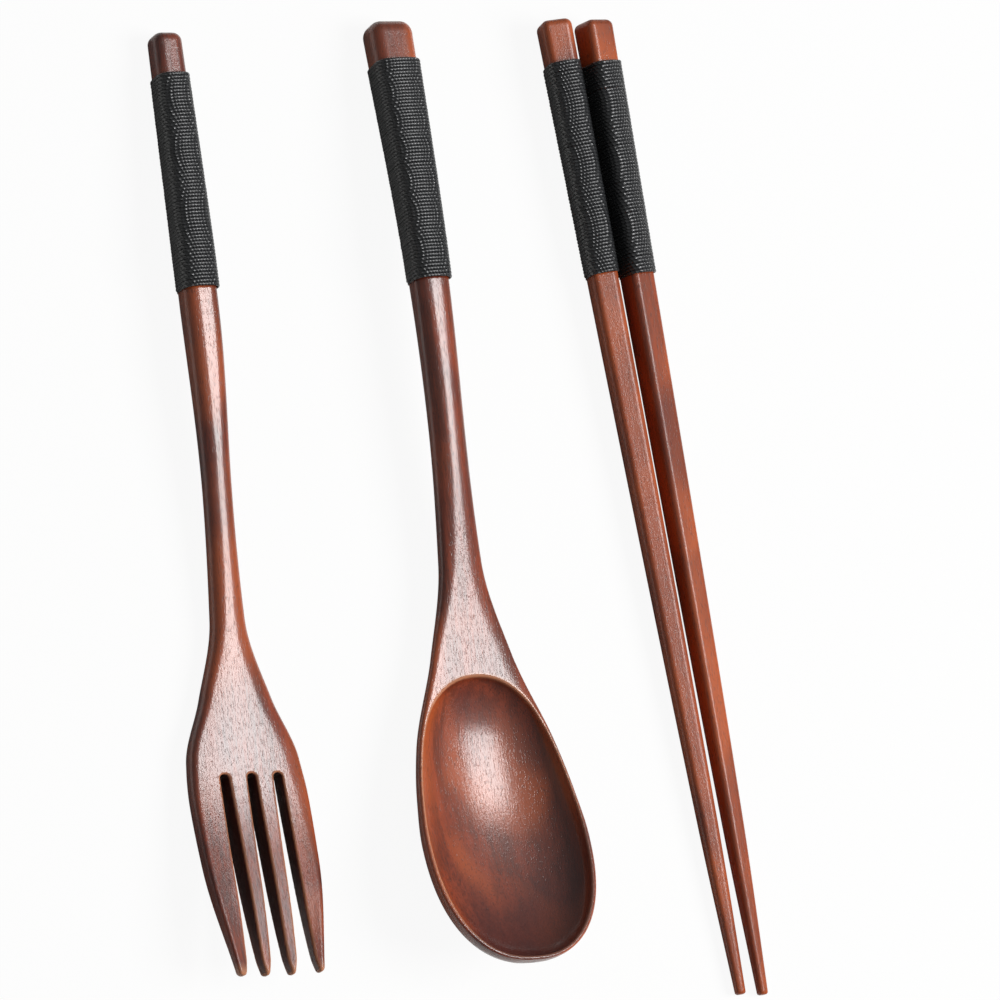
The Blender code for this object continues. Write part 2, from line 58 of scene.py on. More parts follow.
# Lengths are in millimetres. Pairs are (distance from the grip end, size), and a smooth curve goes
# through each row of them.
FORK_LENGTH = 218.0
FORK_WIDTH = (
    (0, 7.1), (64, 8.2), (108, 6.6), (136, 8.0), (154, 17.0), (168, 26.5), (178, 27.9),
    (192, 27.2), (218, 20.5),
)
FORK_THICKNESS = ((0, 6.4), (64, 6.7), (108, 5.2), (171.5, 4.6), (197, 4.3), (218, 2.6))
FORK_CORNER = ((0, 1.8), (64, 1.8), (108, 2.1), (171.5, 1.4), (218, 0.7))
FORK_CROWN = ((108, 0), (171.5, 0.5), (218, 0))
# How far the rounding of the top's left and right edges runs in across it, and down the sides
FORK_LEFT_EDGE = (
    (0, 2.3), (64, 3.3), (108, 3.0), (124, 3.0), (140, 2.4), (154, 2.0), (173, 1.4), (218, 0.8),
)
FORK_RIGHT_EDGE = (
    (0, 2.3), (64, 2.6), (108, 3.1), (136, 3.8), (150, 4.6), (164, 4.8), (178, 3.6), (196, 1.6),
    (218, 0.8),
)
FORK_EDGE_DOWN = (
    (0, 2.3), (64, 2.6), (108, 2.4), (136, 2.2), (150, 2.0), (164, 1.7), (178, 1.2), (218, 0.7),
)
# How far the sides of the head stand over its middle
FORK_CUP = ((171.5, 0), (218, 1.4))
FORK_SPINE = ((0, 0), (70, 2.4), (158, -3.6), (218, 2.8))
FORK_GAP_WIDTH = ((172.6, 2.2), (186, 2.8), (213.8, 4.0), (218, 5.4))
FORK_GAP_PITCH = ((171.5, 6.7), (218, 6.3))
# Each gap's place across the head, and how far it leans for each millimetre of height
FORK_GAPS = ((-1, 0.27), (0, 0.17), (1, 0.05))

SPOON_LENGTH = 222.0
SPOON_WIDTH = (
    (0, 10.9), (58, 8.8), (98, 8.3), (128, 10.0), (150, 20.0), (170, 33.7), (182, 38.4),
    (193, 40.6), (222, 40.6),
)
SPOON_ABOVE = ((0, 4.0), (58, 3.6), (98, 2.9), (150, 0.9))
SPOON_BELOW = ((0, 3.95), (58, 3.57), (98, 2.9), (150, 6.45), (193, 9.95))
SPOON_CORNER = ((0, 2.1), (58, 2.1), (150, 0.9), (222, 0.45))
SPOON_BELLY = ((58.6, 0), (98, 0.6), (150, 1))
SPOON_CROWN = ((58.6, 0), (98, 0.4), (150, 0))
SPOON_LEFT_EDGE = (
    (0, 3.1), (30, 2.7), (58, 3.6), (98, 3.8), (122, 3.6), (138, 2.4), (152, 1.6), (166, 1.0),
    (222, 0.5),
)
SPOON_RIGHT_EDGE = (
    (0, 3.1), (30, 2.7), (58, 3.2), (98, 3.9), (128, 4.3), (140, 4.6), (154, 4.4), (164, 2.6),
    (174, 1.1), (222, 0.5),
)
SPOON_EDGE_DOWN = (
    (0, 3.1), (30, 2.5), (58, 2.8), (98, 2.7), (128, 2.5), (152, 2.0), (164, 1.2), (222, 0.5),
)
SPOON_SPINE = ((0, 0), (60, 3.2), (155, -2.6), (222, 6.9))
# The depth of wood at the tip, the least width of the rim, and the rounding at its inner edge
SPOON_LIP, SPOON_RIM, RIM_BLEND = 0.9, 0.9, 1.2
SPOON_NOSE_SQUARENESS = 2.35
HOLLOW_START, HOLLOW_WIDEST, HOLLOW_END = 154.5, 193.0, 221.1
HOLLOW_HALF_WIDTH = 19.4
HOLLOW_SQUARENESS = 2.2
HOLLOW_DEPTH = 8.1

CHOPSTICK_LENGTH = 230.0
CHOPSTICK_SIDE = ((0, 7.4), (190, 4.3), (230, 2.44))
CHOPSTICK_CORNER = ((0, 1.7), (190, 1.3), (230, 1.1))
# How far each chopstick is rolled about its own length, in degrees
CHOPSTICK_ROLL = 11.0

# The last of the tines, which use has rubbed paler and which also carry a painted highlight,
# and where use has dulled their varnish
TIP_WEAR_AND_HIGHLIGHT_FROM = 214.5
DULL_FROM, DULL_LENGTH = 174.0, 16.0
# How far the pale edge, partly wear and partly a painted highlight, shows from the tines' edges
# and from the bowl's, in millimetres
TINE_WEAR_AND_HIGHLIGHT_WIDTH, RIM_WEAR_AND_HIGHLIGHT_WIDTH = 0.45, 0.75
# Painted shade on the walls of the gaps between tines: how thick a layer it is, and how far
# under the faces it lies
GAP_SHADE_WIDTH, GAP_SHADE_DEPTH = 0.3, 0.5
# Painted shade in the bowl, which deepens towards its tip and its right side
BOWL_SHADE_FROM, BOWL_SHADE_LENGTH, BOWL_SHADE_WIDTH = 192.0, 24.0, 26.0

# The thread's mesh: steps to each turn, points round it, and steps over which an end is tucked in
THREAD_STEPS, THREAD_SIDES, TUCKED_STEPS = 60, 10, 10
# How thick a tucked end is, and how far turns stray along the grip and off it, in millimetres
TUCKED_SIZE, STRAY_ALONG, STRAY_OUT = 0.35, 0.03, 0.015
# The share of the way round the grip where both ends are tucked in, at its lower left corner
HIDDEN_CORNER = 0.625
# How flat the thread is pressed: 1 is a plain ellipse, and less is flatter
THREAD_FLATNESS = 0.85
# How far the turns arch over the middle of the grip's top, which makes the winding look round
GRIP_CROWN = 0.8

# How round a section may be, against its half sizes, and the share of its rounding that it keeps
# where an end is drawn in
FULLEST_CORNER, FULLEST_BELLY, LEAST_CORNER = 0.9, 0.96, 0.33
# The least half size of a section, in millimetres, and the least size that is divided by
THINNEST, TINY = 0.01, 1e-4
# The step over which the spine's slope is taken, in millimetres
SPINE_STEP = 0.5
# How far each mesh's grid reaches past the ends of the wood, in millimetres
GRID_MARGIN = 0.6

# Where the CAD has each utensil's grip end, in millimetres, and its tilt and turn in degrees. The
# chopsticks lie 0.05 mm higher than there, which keeps their undersides off the floor.
FORK_PLACE = ((-54.9257, 111.5198, 3.2203), -1.0124, 0.0)
SPOON_PLACE = ((0.5243, 114.4198, 3.7029), -2.1359, 0.7)
LEFT_PLACE = ((42.3892, 114.6198, 5.1650), 0.8581, 4.9)
RIGHT_PLACE = ((52.5189, 114.6198, 5.1650), 0.8581, 3.7717)


def linear(code):
    """An sRGB hex value as linear red, green, blue and alpha."""
    parts = [int(code[i:i + 2], 16) / 255 for i in (1, 3, 5)]
    return [p / 12.92 if p <= 0.04045 else ((p + 0.055) / 1.055) ** 2.4 for p in parts] + [1.0]


@dataclass
class Form:
    """The shape of one utensil, each value a function of the distance from its grip end."""

    length: float
    spine: Callable
    half_width: Callable
    above: Callable
    below: Callable
    corner: Callable
    left_edge: Callable
    right_edge: Callable
    edge_down: Callable
    belly: Callable = lambda distance: 0.0
    crown: Callable = lambda distance: 0.0
    cup: Callable = lambda distance: 0.0
    end_easing: float = 0.0
    tip_easing: float = 0.0


def smooth_curve(knots, scale=1.0):
    """A smooth curve through (distance, size) pairs that never swings past one of them."""
    at, size = np.array(knots, float).T
    size = size * scale
    gap = np.diff(at)
    rise = np.diff(size) / gap
    slope = np.concatenate([rise[:1], np.zeros(len(at) - 2), rise[-1:]])
    for i in range(1, len(at) - 1):
        if rise[i - 1] * rise[i] > 0:
            near, far = 2 * gap[i] + gap[i - 1], gap[i] + 2 * gap[i - 1]
            slope[i] = (near + far) / (near / rise[i - 1] + far / rise[i])

    def sized(distance):
        distance = np.clip(distance, at[0], at[-1])
        i = np.clip(np.searchsorted(at, distance) - 1, 0, len(gap) - 1)
        t = (distance - at[i]) / gap[i]
        ends = (2 * t**3 - 3 * t**2 + 1) * size[i] + (3 * t**2 - 2 * t**3) * size[i + 1]
        bend = (t**3 - 2 * t**2 + t) * slope[i] + (t**3 - t**2) * slope[i + 1]
        return ends + bend * gap[i]

    return sized


def eased_in(distance, radius):
    """How far an edge rounded to this radius has drawn in, at a distance from its end face."""
    short = np.clip(radius - distance, 0.0, radius)
    return radius - np.sqrt(radius**2 - short**2)


def fork_form():
    return Form(
        length=FORK_LENGTH,
        spine=smooth_curve(FORK_SPINE),
        half_width=smooth_curve(FORK_WIDTH, 0.5),
        above=smooth_curve(FORK_THICKNESS, 0.5),
        below=smooth_curve(FORK_THICKNESS, 0.5),
        corner=smooth_curve(FORK_CORNER),
        left_edge=smooth_curve(FORK_LEFT_EDGE),
        right_edge=smooth_curve(FORK_RIGHT_EDGE),
        edge_down=smooth_curve(FORK_EDGE_DOWN),
        crown=smooth_curve(FORK_CROWN),
        cup=smooth_curve(FORK_CUP),
        end_easing=2.2,
        tip_easing=0.9,
    )


def spoon_form():
    swell = smooth_curve(SPOON_WIDTH, 0.5)
    depth = smooth_curve(SPOON_BELOW)

    def nose(distance):
        past = np.clip((distance - HOLLOW_WIDEST) / (SPOON_LENGTH - HOLLOW_WIDEST), 0.0, 1.0)
        return (1 - past**SPOON_NOSE_SQUARENESS) ** (1 / SPOON_NOSE_SQUARENESS)

    return Form(
        length=SPOON_LENGTH,
        spine=smooth_curve(SPOON_SPINE),
        half_width=lambda distance: swell(distance) * nose(distance),
        above=smooth_curve(SPOON_ABOVE),
        below=lambda distance: SPOON_LIP + (depth(distance) - SPOON_LIP) * nose(distance),
        corner=smooth_curve(SPOON_CORNER),
        left_edge=smooth_curve(SPOON_LEFT_EDGE),
        right_edge=smooth_curve(SPOON_RIGHT_EDGE),
        edge_down=smooth_curve(SPOON_EDGE_DOWN),
        belly=smooth_curve(SPOON_BELLY),
        crown=smooth_curve(SPOON_CROWN),
        end_easing=3.3,
    )


def chopstick_form():
    half_side = smooth_curve(CHOPSTICK_SIDE, 0.5)
    corner = smooth_curve(CHOPSTICK_CORNER)
    return Form(
        length=CHOPSTICK_LENGTH,
        spine=lambda distance: 0.0 * distance,
        half_width=half_side,
        above=half_side,
        below=half_side,
        corner=corner,
        left_edge=corner,
        right_edge=corner,
        edge_down=corner,
        end_easing=1.7,
        tip_easing=0.6,
    )


def rounded(a, b, reach_a, reach_b):
    """How far points are outside two square faces whose edge is rounded off.

    a and b are the distances outside each face, and the reaches are how far the rounding runs
    in along them.
    """
    along_a = np.maximum(a + reach_a, 0.0) / reach_a
    along_b = np.maximum(b + reach_b, 0.0) / reach_b
    return (np.hypot(along_a, along_b) - 1) * np.minimum(reach_a, reach_b)


def beside_spine(form, distance, z):
    """How far along the spine the section through each point stands, and its height over it."""
    along, up = distance, z - form.spine(distance)
    for _ in range(2):
        lean = np.arctan(form.spine(along + SPINE_STEP) - form.spine(along - SPINE_STEP))
        along = distance + up * np.sin(lean)
        up = (z - form.spine(along)) / np.cos(lean)
    return along, up


def wood(form, x, distance, z):
    """How far points are outside a utensil's wood, and less than nothing inside it."""
    along, up = beside_spine(form, distance, z)
    drawn = eased_in(along, form.end_easing) if form.end_easing else 0.0
    if form.tip_easing:
        drawn = drawn + eased_in(form.length - along, form.tip_easing)
    half_width = np.maximum(form.half_width(along) - drawn, THINNEST)
    above = np.maximum(form.above(along) - drawn, THINNEST)
    below = np.maximum(form.below(along) - drawn, THINNEST)

    def reach(curve, *limits):
        full = curve(along)
        least = np.maximum(full - drawn, full * LEAST_CORNER)
        return np.minimum(least, FULLEST_CORNER * np.minimum.reduce(np.broadcast_arrays(*limits)))

    radius = reach(form.corner, half_width, above, below)
    left_reach, right_reach = reach(form.left_edge, half_width), reach(form.right_edge, half_width)
    across_reach = np.where(x < 0, left_reach, right_reach)
    down_reach = reach(form.edge_down, above)
    belly = form.belly(along)
    belly_x = radius + (FULLEST_CORNER * half_width - radius) * belly
    belly_z = radius + (FULLEST_BELLY * below - radius) * belly
    across = (x / half_width) ** 2
    up = up - form.cup(along) * across
    over = up - form.crown(along) * (1 - across)
    beside = np.abs(x) - half_width
    top = rounded(beside, over - above, across_reach, down_reach)
    under = rounded(beside, -up - below, belly_x, belly_z)
    ends = np.maximum(-along, along - form.length)
    return np.maximum(np.where(up > 0, top, under), ends)


def tine_gaps(x, distance, z):
    """How far points are from the nearest gap between tines, and less than nothing in one."""
    half = smooth_curve(FORK_GAP_WIDTH, 0.5)(distance)
    pitch = smooth_curve(FORK_GAP_PITCH)(distance)
    before_root = np.minimum(distance - FORK_GAP_WIDTH[0][0], 0.0)
    up = z - smooth_curve(FORK_SPINE)(distance)
    gaps = [
        np.hypot(x - place * pitch - lean * up, before_root) - half for place, lean in FORK_GAPS
    ]
    return np.minimum(np.minimum(gaps[0], gaps[1]), gaps[2])


def bowl_hollow(form, x, distance, z):
    """How far points are outside the hollow of the bowl, and less than nothing in it."""
    along, up = beside_spine(form, distance, z)
    before = along < HOLLOW_WIDEST
    reach = np.where(before, HOLLOW_WIDEST - HOLLOW_START, HOLLOW_END - HOLLOW_WIDEST)
    squareness = np.where(before, HOLLOW_SQUARENESS, SPOON_NOSE_SQUARENESS)
    down = np.maximum(form.above(along) - up, 0.0) / HOLLOW_DEPTH
    across, length = np.abs(x) / HOLLOW_HALF_WIDTH, np.abs(along - HOLLOW_WIDEST) / reach
    plan = (across**squareness + length**squareness) ** (1 / squareness)
    size = np.maximum(np.hypot(plan, down), TINY)
    share = np.maximum(plan, TINY)
    steep = np.sqrt(
        ((across / share) ** (squareness - 1) * plan / HOLLOW_HALF_WIDTH) ** 2
        + ((length / share) ** (squareness - 1) * plan / reach) ** 2
        + (down / HOLLOW_DEPTH) ** 2
    )
    hollow = (size - 1) * size / np.maximum(steep, TINY)
    within_rim = np.abs(x) - form.half_width(along) + SPOON_RIM
    return rounded(hollow, within_rim, RIM_BLEND, RIM_BLEND)


# How often a mesh's points are evened out, and drawn to the surface after each time
SETTLING, DRAWING = 3, 2


def skinned(field, axes):
    """Skins the surface where a field is nothing, with even quads that lie right on it.

    Each cell of the grid that the surface crosses gets one point, which is evened out among its
    neighbours and drawn back to the surface a few times.
    """
    value = field(*np.meshgrid(*axes, indexing="ij", sparse=True))
    value = np.broadcast_to(value, [len(axis) for axis in axes])
    cells = np.array(value.shape) - 1
    stride = np.array([cells[1] * cells[2], cells[2], 1])
    owners, crossings, quads = [], [], []
    for axis in range(3):
        b, c = (axis + 1) % 3, (axis + 2) % 3
        low = value.take(range(0, cells[axis]), axis)
        high = value.take(range(1, cells[axis] + 1), axis)
        start = np.argwhere((low < 0) != (high < 0))
        first, second = low[tuple(start.T)], high[tuple(start.T)]
        share = first / (first - second)
        point = np.stack([axes[k][start[:, k]] for k in range(3)], axis=1)
        point[:, axis] += share * (axes[axis][start[:, axis] + 1] - axes[axis][start[:, axis]])
        ring = []
        for step_b, step_c in ((0, 0), (-1, 0), (-1, -1), (0, -1)):
            cell = start.copy()
            cell[:, b] += step_b
            cell[:, c] += step_c
            ring.append(cell @ stride)
            owners.append(ring[-1])
            crossings.append(point)
        ring = np.stack(ring, axis=1)
        quads.append(np.where((first < 0)[:, None], ring, ring[:, ::-1]))
    owners, crossings = np.concatenate(owners), np.concatenate(crossings)
    used, index = np.unique(owners, return_inverse=True)
    index = index.ravel()
    count = np.bincount(index)
    points = np.stack([np.bincount(index, crossings[:, k]) / count for k in range(3)], axis=1)
    faces = np.searchsorted(used, np.concatenate(quads))

    ends = np.concatenate([faces[:, [k, (k + 1) % 4]] for k in range(4)])
    ends = np.concatenate([ends, ends[:, ::-1]])
    neighbours = np.bincount(ends[:, 0])
    cell = max(float(np.diff(axis).min()) for axis in axes)
    for _ in range(SETTLING):
        mean = [np.bincount(ends[:, 0], points[ends[:, 1], k]) / neighbours for k in range(3)]
        points = (points + np.stack(mean, axis=1)) / 2
        for _ in range(DRAWING):
            points = points - drawn_to_surface(field, points, cell)
    return points, faces.tolist()


def drawn_to_surface(field, points, cell):
    """The steps that bring points near a field's surface on to it, none longer than a cell."""
    reach, least_steepness = 0.02, 0.05
    value = field(*points.T)
    slope = np.empty_like(points)
    for k in range(3):
        aside = points.copy()
        aside[:, k] += reach
        slope[:, k] = (field(*aside.T) - value) / reach
    steep = np.maximum((slope**2).sum(axis=1), least_steepness)
    step = (value / steep)[:, None] * slope
    length = np.linalg.norm(step, axis=1, keepdims=True)
    return step * np.minimum(1.0, cell / np.maximum(length, TINY))


def spaced(*stops):
    """Places along an axis, from (place, spacing up to the next stop) pairs."""
    places = []
    for (start, spacing), (stop, _) in zip(stops, stops[1:]):
        count = max(round((stop - start) / spacing), 1)
        places.append(np.linspace(start, stop, count, endpoint=False))
    return np.concatenate(places + [[stops[-1][0]]])


def placing(place, roll=0.0):
    """The matrix that lays a utensil, worked out in millimetres, in its place in the set."""
    where, tilt, turn = place
    turned = Euler((math.radians(tilt), 0.0, math.radians(turn))).to_matrix().to_4x4()
    rolled = Matrix.Rotation(math.radians(roll), 4, "Y")
    return Matrix.Translation(Vector(where) * MM) @ turned @ rolled @ Matrix.Scale(MM, 4)


def made_object(name, points, faces, values, matrix, material):
    """Makes a smooth mesh object from points given as (x, distance, z), each with named values."""
    local = np.array(points, float) * (1, -1, 1)
    matrix = np.array(matrix)
    mesh = bpy.data.meshes.new(name)
    mesh.from_pydata((local @ matrix[:3, :3].T + matrix[:3, 3]).tolist(), [], faces)
    for key, value in values.items():
        attribute = mesh.attributes.new(key, "FLOAT", "POINT")
        attribute.data.foreach_set("value", np.asarray(value, np.float32))
    mesh.materials.append(material)
    mesh.shade_smooth()
    mesh.update()
    thing = bpy.data.objects.new(name, mesh)
    bpy.context.scene.collection.objects.link(thing)
    return thing


# the pale edge that this marks is partly wear and partly a painted highlight
def edge_wear_and_highlight(a, b, width):
    """1 on the edge between two faces, fading away from it; a and b are distances outside each."""
    return np.exp(-((np.minimum(a, b) / width) ** 2))


def fork_mesh(settings):
    """The fork's points and faces, with its worn and highlit edges, the painted shade on its gap
    walls and its dulled tines as values.
    """
    form = fork_form()
    soft = settings.edge_softness / MM

    def parts(x, distance, z):
        return wood(form, x, distance, z), -tine_gaps(x, distance, z)

    def field(x, distance, z):
        return rounded(*parts(x, distance, z), soft, soft)

    fine = settings.fork_cell / MM
    # the handle is plain, so its cells are long
    coarse, middling = 2.6 * fine, 1.3 * fine
    handle_from, neck_from, head_from = 3.5, 130, 165
    half_across, half_height = 14.6, 7.6
    axes = (
        spaced((-half_across, fine), (half_across, 0)),
        spaced(
            (-GRID_MARGIN, fine), (handle_from, coarse), (neck_from, middling),
            (head_from, fine), (FORK_LENGTH + GRID_MARGIN, 0),
        ),
        spaced((-half_height, fine), (half_height, 0)),
    )
    points, faces = skinned(field, axes)
    tips = np.clip((points[:, 1] - TIP_WEAR_AND_HIGHLIGHT_FROM) / (FORK_LENGTH - TIP_WEAR_AND_HIGHLIGHT_FROM), 0.0, 1.0)
    outside, gap = parts(*points.T)
    # the pale edges and tips are partly wear and partly a painted highlight
    wear_and_highlight = edge_wear_and_highlight(outside, gap, TINE_WEAR_AND_HIGHLIGHT_WIDTH)
    # painted shade on the walls of the gaps between tines
    shaded_walls = np.exp(-((gap / GAP_SHADE_WIDTH) ** 2)) * (outside < -GAP_SHADE_DEPTH)
    dull = np.clip((points[:, 1] - DULL_FROM) / DULL_LENGTH, 0.0, 1.0)
    values = {"worn_edge": np.maximum(wear_and_highlight, tips), "deep_cut": shaded_walls, "dulled": dull}
    return points, faces, values


def spoon_mesh(settings):
    """The spoon's points and faces, with its worn and highlit rim and the painted shade in its
    bowl as values.
    """
    form = spoon_form()
    soft = settings.edge_softness / MM

    def parts(x, distance, z):
        return wood(form, x, distance, z), -bowl_hollow(form, x, distance, z)

    def field(x, distance, z):
        return rounded(*parts(x, distance, z), soft, soft)

    fine = settings.spoon_cell / MM
    coarse, middling = 2.4 * fine, 1.3 * fine
    handle_from, neck_from, bowl_from = 4.0, 125, 150
    half_across, lowest, highest = 21.0, -13.6, 9.0
    axes = (
        spaced((-half_across, fine), (half_across, 0)),
        spaced(
            (-GRID_MARGIN, fine), (handle_from, coarse), (neck_from, middling),
            (bowl_from, fine), (SPOON_LENGTH + GRID_MARGIN, 0),
        ),
        spaced((lowest, fine), (highest, 0)),
    )
    points, faces = skinned(field, axes)
    outside, hollow = parts(*points.T)
    # painted shade in the bowl, deepening towards its tip and its right side
    shade_ramp = (points[:, 1] - BOWL_SHADE_FROM) / BOWL_SHADE_LENGTH + points[:, 0] / BOWL_SHADE_WIDTH
    # only the hollow's own surface takes the painted shade
    shade_in_bowl = np.clip(shade_ramp, 0.0, 1.0) * (hollow > -RIM_BLEND) * (hollow < RIM_BLEND)
    # the rim's pale edge is partly wear and partly a painted highlight
    wear_and_highlight = edge_wear_and_highlight(outside, hollow, RIM_WEAR_AND_HIGHLIGHT_WIDTH)
    return points, faces, {"worn_edge": wear_and_highlight, "pooled_stain": shade_in_bowl}


def chopstick_mesh(settings):
    """A chopstick's points and faces, with no values."""
    form = chopstick_form()
    fine = settings.chopstick_cell / MM
    coarse = 3 * fine
    shaft_from, tip_from, half_across = 2.5, 226, 4.4
    across = spaced((-half_across, fine), (half_across, 0))
    lengthwise = spaced(
        (-GRID_MARGIN, fine), (shaft_from, coarse), (tip_from, fine),
        (CHOPSTICK_LENGTH + GRID_MARGIN, 0),
    )
    axes = (across, lengthwise, across)
    points, faces = skinned(lambda x, distance, z: wood(form, x, distance, z), axes)
    return points, faces, {}


def on_outline(form, distance, share):
    """A point of the grip's outline at a share of the way round it, the way out and its girth."""
    width, height = float(form.half_width(distance)), float(form.above(distance))
    radius = float(form.corner(distance))
    quarter = height - radius + math.pi / 2 * radius + width - radius
    number, part = divmod(share % 1.0 * 4, 1)
    along = quarter * (part if number % 2 == 0 else 1 - part)
    if along < height - radius:
        point, out = (width, along), (1.0, 0.0)
    elif along < quarter - (width - radius):
        angle = (along - (height - radius)) / radius
        out = (math.cos(angle), math.sin(angle))
        point = (width - radius + radius * out[0], height - radius + radius * out[1])
    else:
        point, out = (quarter - along, height), (0.0, 1.0)
    turned = np.array(((1, 1), (-1, 1), (-1, -1), (1, -1))[int(number)])
    return np.array(point) * turned, np.array(out) * turned, 4 * quarter


def winding_mesh(form, length, settings, seed):
    """One thread wound turn against turn round the grip.

    Beside its points and faces it gives how far each point is along the thread and round it.
    """
    rng = np.random.default_rng(seed)
    width, height = settings.width / MM, settings.height / MM
    start = settings.start / MM
    turns = round(length / (settings.pitch / MM))
    pitch = length / turns
    total = (turns - 1) * THREAD_STEPS
    wander = rng.normal(0.0, STRAY_ALONG, turns + 2)
    lift = rng.normal(0.0, STRAY_OUT, turns + 2)
    numbers = np.arange(turns + 2)
    around = 2 * np.pi * np.arange(THREAD_SIDES) / THREAD_SIDES
    points, runs, run = [], [], 0.0
    for k in range(total + 1):
        turn = k / THREAD_STEPS
        distance = start + pitch / 2 + turn * pitch + np.interp(turn, numbers, wander)
        spot, out, girth = on_outline(form, distance, turn + HIDDEN_CORNER)
        run += girth / THREAD_STEPS
        tuck = min(1.0, k / TUCKED_STEPS, (total - k) / TUCKED_STEPS)
        size = TUCKED_SIZE + (1 - TUCKED_SIZE) * tuck
        flattened = np.sign(np.cos(around)) * np.abs(np.cos(around)) ** THREAD_FLATNESS
        rise = height / 2 * size * (1 - flattened) + np.interp(turn, numbers, lift) * tuck
        if out[1] > 0:
            rise = rise + GRIP_CROWN * (1 - (spot[0] / float(form.half_width(distance))) ** 2)
        aside = width / 2 * size * np.sin(around)
        lean = math.atan(form.spine(distance + SPINE_STEP) - form.spine(distance - SPINE_STEP))
        x = spot[0] + out[0] * rise
        up = spot[1] + out[1] * rise
        along = distance + aside - up * math.sin(lean)
        z = form.spine(distance) + up * math.cos(lean)
        points.append(np.stack([x, along, z], axis=1))
        runs.append(run)
    ring = np.arange(THREAD_SIDES)
    after = (ring + 1) % THREAD_SIDES
    near = (np.arange(total) * THREAD_SIDES)[:, None]
    far = near + THREAD_SIDES
    faces = np.stack([near + ring, far + ring, far + after, near + after], axis=2)
    faces = faces.reshape(-1, 4).tolist()
    faces += [ring.tolist(), (total * THREAD_SIDES + ring)[::-1].tolist()]
    values = {
        "along_thread": np.repeat(runs, THREAD_SIDES),
        "round_thread": np.tile(around, total + 1),
    }
    return np.concatenate(points), faces, values


def add_node(tree, kind, settings, inputs=()):
    """Adds a node with its settings; each input is a value, or the socket that feeds it."""
    made = tree.nodes.new(kind)
    for name, value in settings.items():
        setattr(made, name, value)
    for name, value in dict(inputs).items():
        if isinstance(value, bpy.types.NodeSocket):
            tree.links.new(value, made.inputs[name])
        else:
            made.inputs[name].default_value = value
    return made


def grey(value):
    return (value, value, value, 1.0)


def new_material(name):
    material = bpy.data.materials.new(name)
    material.use_nodes = True
    tree = material.node_tree
    tree.nodes.clear()
    return material, tree


# The wood's patterns: how much longer than wide each is, how many of it there are to 1 mm of
# width, and its noise's detail, roughness and distortion
GRAINS = {
    # fibres 0.4 mm wide and 6 mm long
    "fibre": (16.0, 2.6, 3.0, 0.6, 0.0),
    # bands of growth 2.4 mm wide and 50 mm long
    "band": (22.0, 0.42, 2.0, 0.5, 0.5),
    # drifts where the stain is thin, 20 mm wide, and where it is heavy, 14 mm wide
    "thin": (1.8, 0.05, 1.0, 0.4, 0.8),
    "heavy": (2.5, 0.07, 1.0, 0.4, 0.5),
    # pores 0.25 mm wide and 1.5 mm long
    "pore": (6.0, 4.2, 1.0, 0.5, 0.0),
    # the tooth of the varnish is under 0.2 mm, and is drawn 0.3 mm wide so that it shows
    "sparkle": (1.6, 3.4, 1.0, 0.6, 0.0),
}
# How much of the varnish's gloss use has taken off the tines
DULLED_VARNISH = 0.7


